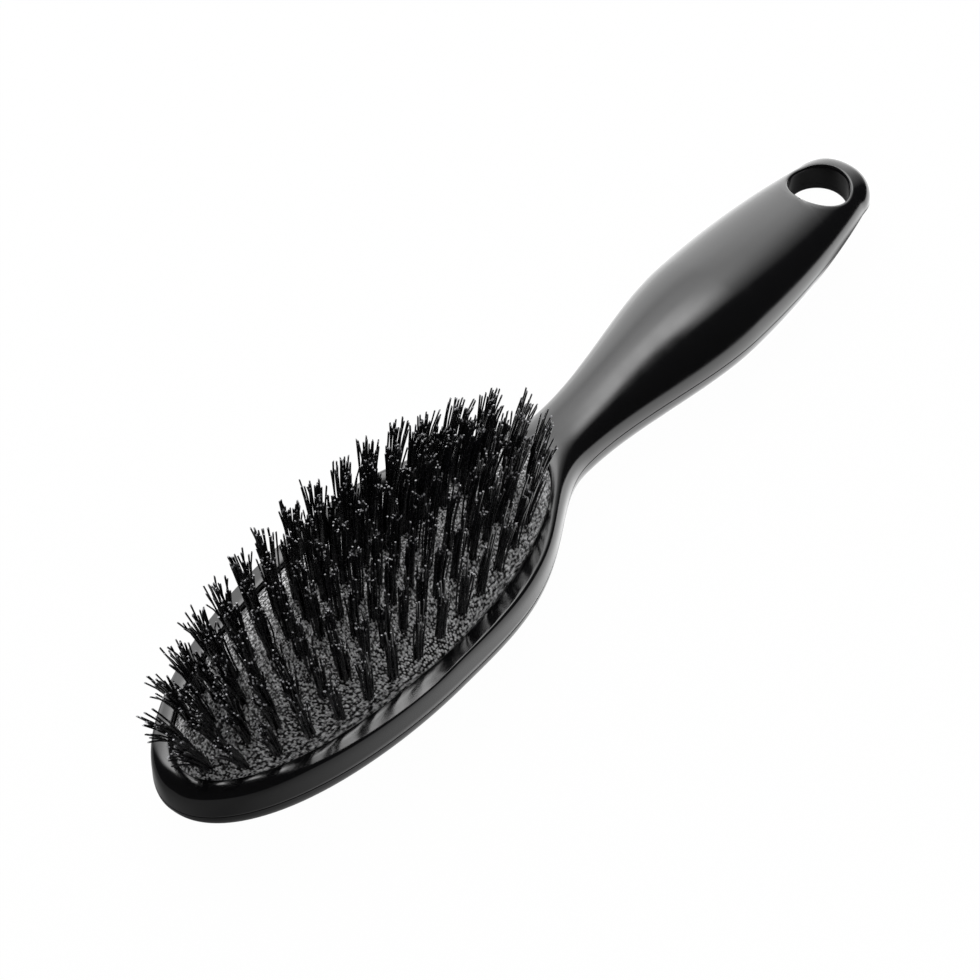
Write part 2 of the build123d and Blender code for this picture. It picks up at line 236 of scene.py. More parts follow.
def close_up(obj, distance=1e-7):
    """Merges the seams and points every face outwards."""
    only(obj)
    bpy.ops.object.mode_set(mode="EDIT")
    bpy.ops.mesh.select_all(action="SELECT")
    bpy.ops.mesh.remove_doubles(threshold=distance)
    bpy.ops.mesh.dissolve_degenerate(threshold=distance)
    bpy.ops.mesh.select_all(action="SELECT")
    bpy.ops.mesh.normals_make_consistent(inside=False)
    bpy.ops.object.mode_set(mode="OBJECT")


def smooth(obj, degrees):
    only(obj)
    bpy.ops.object.shade_smooth_by_angle(angle=math.radians(degrees))


# ---------------------------------------------------------------- moulded shells
HEAD_COLUMNS, SPINE_COLUMNS, BORE_COLUMNS = 110, 150, 44
NECK_PAST, BORE_PART = 4, 11.6
SPINE_SPACING, OUTLINE_SPACING = 1.25, 4.2


def body_columns(head_wide):
    """Inner and outer ends of the lines that the shells' surfaces are laid out on, for one half.

    The inner ends run round the cushion's opening, along the middle of the handle and round the hanging hole.
    """
    lines = []
    for i in range(HEAD_COLUMNS + 1):
        t = math.pi * (1 - i / HEAD_COLUMNS)
        inner = (CUSHION_X + OPEN_LONG * math.cos(t), OPEN_WIDE * head_wide * math.sin(t))
        x = CUSHION_X + (HEAD_REACH if t > math.pi / 2 else NECK_REACH + NECK_PAST) * math.cos(t)
        lines.append((inner, x, "head"))
    heel, bore_start = CUSHION_X + OPEN_LONG, BORE_X - BORE_RADIUS
    for i in range(1, SPINE_COLUMNS):
        s = (i / SPINE_COLUMNS) ** SPINE_SPACING
        x = CUSHION_X + NECK_REACH + NECK_PAST + (BORE_X - BORE_PART - CUSHION_X - NECK_REACH - NECK_PAST) * s
        lines.append(((heel + (bore_start - heel) * s, 0.0), x, "spine"))
    for i in range(BORE_COLUMNS + 1):
        t = math.pi * (1 - i / BORE_COLUMNS)
        inner = (BORE_X + BORE_RADIUS * math.cos(t), BORE_RADIUS * math.sin(t))
        x = BORE_X + (BORE_PART if t > math.pi / 2 else END_X - BORE_X) * math.cos(t)
        lines.append((inner, x, "bore"))
    half = [(inner, (x, half_width(x)), part) for inner, x, part in lines]
    return half + [((i[0], -i[1]), (o[0], -o[1]), part) for i, o, part in reversed(half[:-1])]


LIP_ROWS = (0.0, 0.02, 0.07, 0.15, 0.27, 0.45, 0.7, 1.0)
OUTLINE_ROWS = 24


def surface_places(inner, outer, lip_radius):
    """Places along one line, close together at the lip and at the outline."""
    length = math.hypot(outer[0] - inner[0], outer[1] - inner[1])
    places = [lip_radius * share for share in LIP_ROWS]
    first = places[-1]
    for k in range(OUTLINE_ROWS - 1, -1, -1):
        places.append(first + (length - first) * (1 - (k / OUTLINE_ROWS) ** OUTLINE_SPACING))
    run, rise = outer[0] - inner[0], outer[1] - inner[1]
    return [(inner[0] + run * d / length, inner[1] + rise * d / length) for d in places]


# the groove where the halves meet: distance inwards from the outline and half of the gap there
SEAM = ((0.0, 0.16), (0.07, 0.06), (0.28, 0.02))
SEAM_FADE = 0.5
POCKET_FADE = 20


def inset(point, distance):
    """A point of the outline moved inwards."""
    x, y = point
    if abs(y) < 1e-6:
        return (x + (distance if x < 0 else -distance), y)
    step = 0.01
    slope = (half_width(min(x + step, END_X)) - half_width(max(x - step, TIP_X))) / (2 * step)
    side = math.copysign(1, y)
    length = math.hypot(1, slope)
    return (x + distance * slope / length, y - side * distance / length)


def shell(name, front):
    """One moulded half of the body, closed along the parting plane."""
    sign = 1 if front else -1
    height = front_height if front else back_height
    columns = body_columns(1.0 if front else 0.0)
    heel = CUSHION_X + OPEN_LONG
    table = []
    for inner, outer, part in columns:
        lip_radius = BORE_LIP if part == "bore" else RIM_LIP
        line = surface_places(inner, outer, lip_radius)
        under = inner
        if front and part == "head":
            t = math.atan2(inner[1] / OPEN_WIDE, (inner[0] - CUSHION_X) / OPEN_LONG)
            under = (CUSHION_X + (OPEN_LONG + POCKET) * math.cos(t), (OPEN_WIDE + POCKET) * math.sin(t))
        elif front and part == "spine":
            under = (inner[0] + POCKET * max(0.0, 1 - (inner[0] - heel) / POCKET_FADE), 0.0)
        base = PARTING_Z + sign * SEAM[-1][1]
        top = height(*line[0])
        if front and part == "head":
            wall = [(*under, base), (*under, LEDGE_Z), (*inner, LEDGE_Z)]
        elif part == "bore":
            wall = [(*inner, base), (*inner, base + (top - base) / 3), (*inner, base + (top - base) * 2 / 3)]
        else:
            wall = [(*under, base), (*inner, top), (*inner, top)]
        rows = list(wall)
        for x, y in line:
            z = height(x, y)
            rows.append((x, y, z + sign * SEAM[0][1] * math.exp(-abs(z - PARTING_Z) / SEAM_FADE)))
        for distance, gap in SEAM[1:]:
            rows.append((*inset(outer, distance), PARTING_Z + sign * gap))
        rows.append(wall[0])
        table.append(rows)
    obj = woven_grid(name, len(table), len(table[0]), lambda column, row: table[column][row])
    close_up(obj)
    # the wall that the two halves share along the middle of the handle isn't there
    only(obj)
    bpy.ops.object.mode_set(mode="EDIT")
    bpy.ops.mesh.select_mode(type="FACE")
    bpy.ops.object.mode_set(mode="OBJECT")
    for polygon in obj.data.polygons:
        polygon.select = all(abs(obj.data.vertices[v].co.y) < 1e-7 for v in polygon.vertices)
    bpy.ops.object.mode_set(mode="EDIT")
    bpy.ops.mesh.delete(type="FACE")
    bpy.ops.mesh.select_all(action="SELECT")
    bpy.ops.mesh.normals_make_consistent(inside=False)
    bpy.ops.object.mode_set(mode="OBJECT")
    smooth(obj, 50)
    return obj


# ---------------------------------------------------------------- rubber cushion
def dome_height(x, y):
    """Height of the rubber above the cushion's edge."""
    return PAD_DOME * max(0.0, 1 - ((x - CUSHION_X) / PAD_LONG) ** 2 - (y / PAD_WIDE) ** 2)


BEAD_PITCH, BEAD_RADIUS, BEAD_HEIGHT, BEAD_STRAY = 0.66, 0.36, 0.22, 0.4
BEAD_SMALLEST, BEAD_GROWTH = 0.7, 0.45
BEAD_FADE = 0.45


def bead_shuffle(column, row, shift, steps):
    """A number from 0 to 1 that is always the same for a bead and looks random from bead to bead."""
    mixed = (column * 73856093) ^ (row * 19349663)
    return (mixed >> shift) % steps / (steps - 1)


def pebble_height(x, y):
    """Height of the small beads moulded over the rubber, in staggered rows with each bead a little astray."""
    row_pitch = BEAD_PITCH * math.sqrt(3) / 2
    best = BEAD_RADIUS
    row0 = round(y / row_pitch)
    for row in (row0 - 1, row0, row0 + 1):
        shift = BEAD_PITCH / 2 if row % 2 else 0.0
        column0 = round((x - shift) / BEAD_PITCH)
        for column in (column0 - 1, column0, column0 + 1):
            stray_x = (bead_shuffle(column, row, 3, 101) - 0.5) * BEAD_STRAY
            stray_y = (bead_shuffle(column, row, 9, 103) - 0.5) * BEAD_STRAY
            bead_x, bead_y = column * BEAD_PITCH + shift + stray_x, row * row_pitch + stray_y
            size = BEAD_SMALLEST + BEAD_GROWTH * bead_shuffle(column, row, 5, 97)
            best = min(best, math.hypot(x - bead_x, y - bead_y) / size)
    return BEAD_HEIGHT * math.sqrt(1 - (best / BEAD_RADIUS) ** 2)


DOME_COLUMNS, DOME_ROWS = 390, 216
DOME_SKIRT = 0.6


def cushion_dome():
    """The domed rubber: a fine sheet with its beads, turned down at its edge and closed underneath."""
    def place(column, row):
        across = math.sin(math.pi * (row / (DOME_ROWS - 1) - 0.5))
        reach = math.sqrt(max(0.0, 1 - across * across))
        x = CUSHION_X + PAD_LONG * reach * (2 * column / (DOME_COLUMNS - 1) - 1)
        y = PAD_WIDE * across
        rise = dome_height(x, y)
        return x, y, SEAT_Z + rise + pebble_height(x, y) * min(1.0, rise / BEAD_FADE)

    obj = woven_grid("cushion_dome", DOME_COLUMNS, DOME_ROWS, place)
    only(obj)
    bpy.ops.object.mode_set(mode="EDIT")
    bpy.ops.mesh.select_all(action="SELECT")
    bpy.ops.mesh.remove_doubles(threshold=1e-7)
    bpy.ops.mesh.dissolve_degenerate(threshold=1e-7)
    bpy.ops.mesh.select_mode(type="EDGE")
    bpy.ops.mesh.select_all(action="DESELECT")
    bpy.ops.mesh.select_non_manifold()
    bpy.ops.mesh.extrude_region_move(TRANSFORM_OT_translate={"value": (0, 0, -DOME_SKIRT * MM)})
    bpy.ops.mesh.edge_face_add()
    bpy.ops.mesh.select_all(action="SELECT")
    bpy.ops.mesh.normals_make_consistent(inside=False)
    bpy.ops.object.mode_set(mode="OBJECT")
    smooth(obj, 60)
    # the bead heights are kept as an attribute, and the rubber paints its bead-top highlights from it
    beads = obj.data.attributes.new("bead", "FLOAT", "POINT")
    share = [pebble_height(v.co.x / MM, v.co.y / MM) / BEAD_HEIGHT for v in obj.data.vertices]
    beads.data.foreach_set("value", share)
    return obj


# ---------------------------------------------------------------- bristle tufts
FILAMENT_RADIUS, FILAMENT_SIDES = 0.25, 5
FILAMENT_RINGS = (0.28, 0.55, 0.8, 0.985)
CUT_END, CUT_NARROWING, CUT_SLANT = 0.999, 0.8, 0.45
THICKNESS_FROM, THICKNESS_TO = 0.88, 1.12
# how strongly each filament's cut end is painted pale, as a painted highlight
TIP_GLINT_FROM, TIP_GLINT_TO = 0.1, 1.0
SUNK = 1.4

# filaments in a tuft, and more of them on the far side and where the tufts fan out at both ends of the head
COUNT_FROM, COUNT_TO, COUNT_FAR, COUNT_FAN = 14, 16, 11, 8
# shares of the tuft's height: the longest, the usual in the far rows, and how much less in the near rows
LONGEST, USUAL, NEAR_SHORT = 0.99, 0.97, 0.27
NEAR_FROM, NEAR_REACH = 0.7, 1.4
LENGTH_VARIES, SHORTEST_LESS, LONG_EVERY = 0.07, 0.2, 5
# millimetres at the root and at the tip, and how uneven the tips are
ROOT_SPREAD, ROOT_SPREAD_FAR = 1.1, 0.3
TIP_SPREAD, TIP_SPREAD_FAR, TIP_SPREAD_FAN = 1.4, 1.6, 1.6
SPREAD_FROM, SPREAD_TO = 0.75, 1.15
LOOSE, LOOSE_FAR, LOOSE_FAN, LOOSE_SHARE = 0.5, 0.5, 1.2, 0.55
BOW, BOW_BACK = 0.25, -0.08
BEND_STRAIGHT, BEND_CURVED = 0.35, 0.65
# where along the cushion, as a share of its half length, the tufts start to fan and lean, and how strongly
TIP_FAN_START, HEEL_FAN_START, HEEL_FAN = 0.35, 0.4, 0.7
HEEL_LEAN, HEEL_LEAN_START, TIP_LEAN, TIP_LEAN_START = 5.0, 0.05, 9.0, 0.6
GOLDEN_TURN = 2.39996


def filament_template():
    """Coordinates and faces of a filament, a unit long: a straight rod, narrower at its cut end."""
    bpy.ops.object.select_all(action="DESELECT")
    bpy.ops.mesh.primitive_cylinder_add(
        vertices=FILAMENT_SIDES, radius=1, depth=1, end_fill_type="NOTHING", location=(0, 0, 0.5)
    )
    rod = start_object("filament_template")
    bpy.ops.object.transform_apply(location=True, rotation=True, scale=True)
    bpy.ops.object.mode_set(mode="EDIT")
    for level in FILAMENT_RINGS:
        bpy.ops.mesh.select_all(action="SELECT")
        bpy.ops.mesh.bisect(plane_co=(0, 0, level), plane_no=(0, 0, 1))
    bpy.ops.mesh.select_all(action="SELECT")
    bpy.ops.object.mode_set(mode="OBJECT")
    for vertex in rod.data.vertices:
        vertex.select = vertex.co.z > CUT_END
    for edge in rod.data.edges:
        edge.select = all(rod.data.vertices[v].co.z > CUT_END for v in edge.vertices)
    bpy.ops.object.mode_set(mode="EDIT")
    bpy.ops.mesh.select_mode(type="EDGE")
    bpy.ops.transform.resize(value=(CUT_NARROWING, CUT_NARROWING, 1))
    bpy.ops.mesh.edge_face_add()
    bpy.ops.object.mode_set(mode="OBJECT")
    coords = [tuple(v.co) for v in rod.data.vertices]
    faces = [tuple(p.vertices) for p in rod.data.polygons]
    bpy.data.objects.remove(rod)
    return coords, faces


def tuft_axes(node):
    """Root centre, direction and height in millimetres of each tuft of a CAD node, from its own solids."""
    mesh = frame["nodes"][node].data
    owner = {}

    def find(key):
        while owner[key] != key:
            owner[key] = owner[owner[key]]
            key = owner[key]
        return key

    keys = [tuple(round(c / MM, 2) for c in v.co) for v in mesh.vertices]
    for key in keys:
        owner.setdefault(key, key)
    for polygon in mesh.polygons:
        first = find(keys[polygon.vertices[0]])
        for v in polygon.vertices[1:]:
            owner[find(keys[v])] = first
    islands = {}
    for key in owner:
        islands.setdefault(find(key), []).append(Vector(key))
    axes = []
    for points in islands.values():
        points.sort(key=lambda p: -p.z)
        tip = sum(points[:6], Vector()) / 6
        low = sum(points[6:], Vector()) / len(points[6:])
        axis = (tip - low).normalized()
        height = max((tip - p).dot(axis) for p in points) - ROOT_DEPTH
        axes.append((tip - axis * height, axis, height))
    return sorted(axes, key=lambda a: (round(a[0].x, 2), round(a[0].y, 2)))


def filament_shapes(root, axis, height, dice):
    """Base, tip, bow, length, thickness, slant of the cut and strength of the painted highlight on the cut
    end of each filament of a tuft.
    """
    along = (root.x - CUSHION_X) / PAD_LONG
    u = Vector((0, 1, 0)).cross(axis).normalized()
    v = axis.cross(u)
    fan = max(0.0, -along - TIP_FAN_START, HEEL_FAN * (along - HEEL_FAN_START))
    far = max(0.0, root.y / PAD_WIDE)
    loose = LOOSE + LOOSE_FAR * far + LOOSE_FAN * fan
    to_heel = HEEL_LEAN * max(0.0, along - HEEL_LEAN_START)
    lean = Vector((to_heel - TIP_LEAN * max(0.0, -along - TIP_LEAN_START), 0, 0))
    count = dice.randint(COUNT_FROM, COUNT_TO) + round(COUNT_FAR * far + COUNT_FAN * fan)
    tip_spread = TIP_SPREAD + TIP_SPREAD_FAR * far + TIP_SPREAD_FAN * fan
    usual = USUAL - NEAR_SHORT * ease((NEAR_FROM - root.y / PAD_WIDE) / NEAR_REACH)
    turn = dice.uniform(0, 2 * math.pi)
    for i in range(count):
        a = turn + i * GOLDEN_TURN
        r = math.sqrt((i + 0.5) / count)
        outward = u * math.cos(a) + v * math.sin(a)
        start = outward * ((ROOT_SPREAD + ROOT_SPREAD_FAR * far) * r)
        spread = tip_spread * r * dice.uniform(SPREAD_FROM, SPREAD_TO)
        ragged = u * dice.gauss(0, loose * LOOSE_SHARE) + v * dice.gauss(0, loose * LOOSE_SHARE)
        end = outward * spread + ragged + lean
        if i % LONG_EVERY == 0:
            length = height * dice.uniform(usual, LONGEST)
        else:
            length = height * (usual - min(abs(dice.gauss(0, LENGTH_VARIES)), SHORTEST_LESS))
        if i == 0:
            length = height * LONGEST
        bow = (u * dice.gauss(0, BOW) + v * dice.gauss(0, BOW)) + end * BOW_BACK
        thick = FILAMENT_RADIUS * dice.uniform(THICKNESS_FROM, THICKNESS_TO)
        cut = dice.gauss(0, CUT_SLANT), dice.gauss(0, CUT_SLANT)
        yield u, v, start, end, bow, length, thick, cut, dice.uniform(TIP_GLINT_FROM, TIP_GLINT_TO)


def tuft_piece(node, template, dice):
    """All the filaments of one CAD node's tufts."""
    rod_coords, rod_faces = template
    coords, faces, painted_tip_glints = [], [], []
    for root, axis, height in tuft_axes(node):
        for u, v, start, end, bow, length, thick, cut, painted_tip_glint in filament_shapes(root, axis, height, dice):
            base = len(coords)
            for x, y, z in rod_coords:
                h = -SUNK + (length + SUNK) * z
                if z > CUT_END:
                    h += (x * cut[0] + y * cut[1]) * thick
                s = max(h, 0) / length
                bend = BEND_STRAIGHT * s + BEND_CURVED * s * s
                centre = start + (end - start) * bend + bow * (4 * s * (1 - s))
                p = root + axis * h + centre + (u * x + v * y) * thick
                coords.append(tuple(c * MM for c in p))
                # strength of the painted highlight, on the cut end only
                painted_tip_glints.append(painted_tip_glint if z > CUT_END else 0.0)
            faces.extend(tuple(k + base for k in face) for face in rod_faces)
    mesh = bpy.data.meshes.new(node + "_filaments")
    mesh.from_pydata(coords, [], faces)
    mesh.attributes.new("cut_end", "FLOAT", "POINT").data.foreach_set("value", painted_tip_glints)
    obj = bpy.data.objects.new(node + "_filaments", mesh)
    bpy.context.scene.collection.objects.link(obj)
    only(obj)
    bpy.ops.object.mode_set(mode="EDIT")
    bpy.ops.mesh.select_all(action="SELECT")
    bpy.ops.mesh.normals_make_consistent(inside=False)
    bpy.ops.object.mode_set(mode="OBJECT")
    smooth(obj, 60)
    return obj


# ---------------------------------------------------------------- materials
def new_material(name):
    material = bpy.data.materials.new(name)
    material.use_nodes = True
    nodes = material.node_tree.nodes
    return material, nodes, material.node_tree.links, nodes["Principled BSDF"]


def micro_group():
    """Handling marks: slightly uneven gloss and a very fine unevenness of the surface."""
    group = bpy.data.node_groups.new("handling marks", "ShaderNodeTree")
    face = group.interface
    for name, value in (("Scale", 300.0), ("Low gloss", 0.1), ("High gloss", 0.2)):
        face.new_socket(name=name, in_out="INPUT", socket_type="NodeSocketFloat").default_value = value
    face.new_socket(name="Roughness", in_out="OUTPUT", socket_type="NodeSocketFloat")
    face.new_socket(name="Height", in_out="OUTPUT", socket_type="NodeSocketFloat")
    nodes, links = group.nodes, group.links
    enter, leave = nodes.new("NodeGroupInput"), nodes.new("NodeGroupOutput")
    place = nodes.new("ShaderNodeTexCoord")
    noise = nodes.new("ShaderNodeTexNoise")
    noise.inputs["Detail"].default_value = 4
    spread = nodes.new("ShaderNodeMapRange")
    spread.inputs["From Min"].default_value = 0.35
    spread.inputs["From Max"].default_value = 0.65
    links.new(place.outputs["Object"], noise.inputs["Vector"])
    links.new(enter.outputs["Scale"], noise.inputs["Scale"])
    links.new(noise.outputs["Fac"], spread.inputs["Value"])
    links.new(enter.outputs["Low gloss"], spread.inputs["To Min"])
    links.new(enter.outputs["High gloss"], spread.inputs["To Max"])
    links.new(spread.outputs["Result"], leave.inputs["Roughness"])
    links.new(noise.outputs["Fac"], leave.inputs["Height"])
    return group


MARKS = micro_group()


def marked(nodes, links, shader, scale, low, high, bump, distance):
    """Gives a shader the handling marks: their scale, the gloss they range over and how far they stand up."""
    marks = nodes.new("ShaderNodeGroup")
    marks.node_tree = MARKS
    marks.inputs["Scale"].default_value = scale
    marks.inputs["Low gloss"].default_value = low
    marks.inputs["High gloss"].default_value = high
    links.new(marks.outputs["Roughness"], shader.inputs["Roughness"])
    raised = nodes.new("ShaderNodeBump")
    raised.inputs["Strength"].default_value = bump
    raised.inputs["Distance"].default_value = distance
    links.new(marks.outputs["Height"], raised.inputs["Height"])
    links.new(raised.outputs["Normal"], shader.inputs["Normal"])


def black_gloss(name, color):
    """Polished black plastic of the moulded body."""
    material, nodes, links, shader = new_material(name)
    shader.inputs["Base Color"].default_value = (*color, 1)
    shader.inputs["IOR"].default_value = 1.5
    marked(nodes, links, shader, 220, 0.12, 0.17, 0.03, 0.0002)
    return material


def rubber():
    """Rubber with a painted highlight: its bead tops are painted pale, as glints, and it is black between
    them.
    """
    material, nodes, links, shader = new_material("pebbled rubber")
    place = nodes.new("ShaderNodeTexCoord")
    glint_patches = nodes.new("ShaderNodeTexNoise")
    glint_patches.inputs["Scale"].default_value = 1600
    glint_patches.inputs["Detail"].default_value = 3
    bead = nodes.new("ShaderNodeAttribute")
    bead.attribute_name = "bead"
    mixed = nodes.new("ShaderNodeMath")
    mixed.operation = "MULTIPLY"
    # painted highlight: the base colour goes from black to pale on the bead tops, patchily, where they would
    # catch the light
    ramp = nodes.new("ShaderNodeValToRGB")
    ramp.color_ramp.elements[0].position = 0.2
    ramp.color_ramp.elements[0].color = (0.004, 0.004, 0.0042, 1)
    ramp.color_ramp.elements[1].position = 0.56
    ramp.color_ramp.elements[1].color = (0.8, 0.8, 0.81, 1)
    links.new(place.outputs["Object"], glint_patches.inputs["Vector"])
    links.new(glint_patches.outputs["Fac"], mixed.inputs[0])
    links.new(bead.outputs["Fac"], mixed.inputs[1])
    links.new(mixed.outputs[0], ramp.inputs["Fac"])
    links.new(ramp.outputs["Color"], shader.inputs["Base Color"])
    marked(nodes, links, shader, 2200, 0.2, 0.4, 0.5, 0.0003)
    return material


def nylon():
    """Black filaments with a painted highlight: their cut ends are painted paler, as glints."""
    material, nodes, links, shader = new_material("black nylon")
    end = nodes.new("ShaderNodeAttribute")
    end.attribute_name = "cut_end"
    # painted highlight: the cut ends are painted grey, as glints on the tips
    ramp = nodes.new("ShaderNodeValToRGB")
    ramp.color_ramp.elements[0].position = 0.004
    ramp.color_ramp.elements[0].color = (0.008, 0.008, 0.009, 1)
    ramp.color_ramp.elements[1].position = 0.995
    ramp.color_ramp.elements[1].color = (0.4, 0.4, 0.42, 1)
    links.new(end.outputs["Fac"], ramp.inputs["Fac"])
    links.new(ramp.outputs["Color"], shader.inputs["Base Color"])
    shader.inputs["IOR"].default_value = 1.53
    marked(nodes, links, shader, 1500, 0.22, 0.34, 0.1, 0.0001)
    return material


def plain_moulding():
    """Dull plastic of the ring inside the head."""
    material, nodes, links, shader = new_material("hidden moulding")
    shader.inputs["Base Color"].default_value = (0.05, 0.05, 0.05, 1)
    marked(nodes, links, shader, 600, 0.4, 0.55, 0.2, 0.0002)
    return material


def dress(obj, material):
    obj.data.materials.clear()
    obj.data.materials.append(material)


# ---------------------------------------------------------------- the brush
front = shell("front_body", True)
back = shell("back_body", False)
dome = cushion_dome()
dress(front, black_gloss("polished front", (0.004, 0.004, 0.0045)))
dress(back, black_gloss("polished back", (0.005, 0.005, 0.0055)))
dress(dome, rubber())
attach(front, "brush_body")
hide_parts("front_shell")
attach(back, "brush_body")
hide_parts("back_shell")
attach(dome, "brush_body")
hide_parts("cushion_pad")
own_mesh(dome)
dress(frame["nodes"]["retainer_ring"], plain_moulding())

template = filament_template()
dice = random.Random(11)
bristle = nylon()
for body, members in frame["record"]["behaviour"]["bodies"].items():
    for node in members:
        if node.startswith("tufts_"):
            piece = tuft_piece(node, template, dice)
            dress(piece, bristle)
            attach(piece, body)
            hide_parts(node)

# ---------------------------------------------------------------- floor, light and camera
VIEW_AZIMUTH, VIEW_ELEVATION, VIEW_ROLL = math.radians(-51.224), math.radians(47.992), math.radians(-0.165)
VIEW_TARGET = Vector((-13.58, 2.69, 9.53)) * MM
VIEW_DISTANCE = 700 * MM
FOCAL_PIXELS, IMAGE_PIXELS, SENSOR = 3360, 980, 36

FLOOR_SIZE, FLOOR_GAP = 6, 0.0002
FLOOR_SEEN, FLOOR_GLOSSY = 0.985, 0.7
# the floor's glow in gloss is painted light and shade: graded along the brush, a painted shade on the near
# side and a painted shadow under the hanging hole
FLOOR_DIM, FLOOR_BRIGHT, FLOOR_TURN = 0.1, 4.0, 0.115
FLOOR_DARK_Y, FLOOR_LIT_Y = -0.17, -0.02
SHADE_NEAR, SHADE_FAR = 0.012, 0.022


def pale(name, color):
    """A surface that looks nearly plain white, partly so in gloss, and otherwise takes light and shade.

    In gloss its glow is painted light and shade: brighter towards the handle's end of the brush, fading out
    on the side away from the softbox, and with a painted shadow under the hanging hole.
    """
    material = bpy.data.materials.new(name)
    material.use_nodes = True
    nodes, links = material.node_tree.nodes, material.node_tree.links
    nodes.clear()
    out = nodes.new("ShaderNodeOutputMaterial")
    mix = nodes.new("ShaderNodeMixShader")
    matt = nodes.new("ShaderNodeBsdfDiffuse")
    matt.inputs["Color"].default_value = (*color, 1)
    plain = nodes.new("ShaderNodeEmission")
    plain.inputs["Color"].default_value = (1, 1, 1, 1)
    path = nodes.new("ShaderNodeLightPath")
    seen = nodes.new("ShaderNodeMath")
    seen.operation = "MAXIMUM"
    links.new(path.outputs["Is Camera Ray"], seen.inputs[0])
    links.new(path.outputs["Is Transmission Ray"], seen.inputs[1])
    direct = nodes.new("ShaderNodeMath")
    direct.operation = "MULTIPLY"
    direct.inputs[1].default_value = FLOOR_SEEN
    links.new(seen.outputs[0], direct.inputs[0])
    share = nodes.new("ShaderNodeMath")
    share.operation = "MULTIPLY_ADD"
    share.inputs[1].default_value = FLOOR_GLOSSY
    links.new(path.outputs["Is Glossy Ray"], share.inputs[0])
    links.new(direct.outputs[0], share.inputs[2])
    place = nodes.new("ShaderNodeTexCoord")
    split = nodes.new("ShaderNodeSeparateXYZ")
    along = nodes.new("ShaderNodeMapRange")
    along.inputs["From Min"].default_value = -FLOOR_TURN
    along.inputs["From Max"].default_value = FLOOR_TURN
    along.inputs["To Min"].default_value = FLOOR_DIM
    along.inputs["To Max"].default_value = FLOOR_BRIGHT
    links.new(place.outputs["Object"], split.inputs[0])
    links.new(split.outputs["X"], along.inputs["Value"])
    across = nodes.new("ShaderNodeMapRange")
    across.interpolation_type = "SMOOTHSTEP"
    across.inputs["From Min"].default_value = FLOOR_DARK_Y
    across.inputs["From Max"].default_value = FLOOR_LIT_Y
    links.new(split.outputs["Y"], across.inputs["Value"])
    away = nodes.new("ShaderNodeVectorMath")
    away.operation = "DISTANCE"
    away.inputs[1].default_value = (BORE_X * MM, 0, 0)
    links.new(place.outputs["Object"], away.inputs[0])
    under = nodes.new("ShaderNodeMapRange")
    under.interpolation_type = "SMOOTHSTEP"
    under.inputs["From Min"].default_value = SHADE_NEAR
    under.inputs["From Max"].default_value = SHADE_FAR
    links.new(away.outputs["Value"], under.inputs["Value"])
    shaded = nodes.new("ShaderNodeMath")
    shaded.operation = "MULTIPLY"
    links.new(across.outputs["Result"], shaded.inputs[0])
    links.new(under.outputs["Result"], shaded.inputs[1])
    glossy = nodes.new("ShaderNodeMath")
    glossy.operation = "MULTIPLY"
    links.new(along.outputs["Result"], glossy.inputs[0])
    links.new(shaded.outputs[0], glossy.inputs[1])
    level = nodes.new("ShaderNodeMix")
    level.inputs["A"].default_value = 1.0
    links.new(path.outputs["Is Glossy Ray"], level.inputs["Factor"])
    links.new(glossy.outputs[0], level.inputs["B"])
    links.new(level.outputs["Result"], plain.inputs["Strength"])
    links.new(share.outputs[0], mix.inputs["Fac"])
    links.new(matt.outputs[0], mix.inputs[1])
    links.new(plain.outputs[0], mix.inputs[2])
    links.new(mix.outputs[0], out.inputs["Surface"])
    return material


bpy.ops.object.select_all(action="DESELECT")
bpy.ops.mesh.primitive_plane_add(size=FLOOR_SIZE, location=(0, 0, -FLOOR_GAP))
floor = start_object("floor")
dress(floor, pale("white floor", (0.8, 0.8, 0.8)))

SOFTBOX_RADIUS = 1.5
SOFTBOX_FROM, SOFTBOX_TO, SOFTBOX_TOP = -14, 102, 66
SOFTBOX_RISE = ((0.004, 0.42), (0.45, 0.45), (0.6, 0.36), (0.75, 0.5), (0.87, 1.0), (0.94, 1.0), (0.995, 0.0))
SOFTBOX_SIDES = ((0.004, 0.0), (0.15, 0.35), (0.32, 1.0), (0.88, 1.0), (0.995, 0.0))
SOFTBOX_STRENGTH = 7.0


def graded(nodes, links, value, stops):
    """A ramp through grey levels along a value from 0 to 1."""
    ramp = nodes.new("ShaderNodeValToRGB")
    for position, level in stops:
        ramp.color_ramp.elements.new(position).color = (level, level, level, 1)
    ramp.color_ramp.elements.remove(ramp.color_ramp.elements[0])
    ramp.color_ramp.elements.remove(ramp.color_ramp.elements[-1])
    links.new(value, ramp.inputs["Fac"])
    return ramp.outputs["Color"]


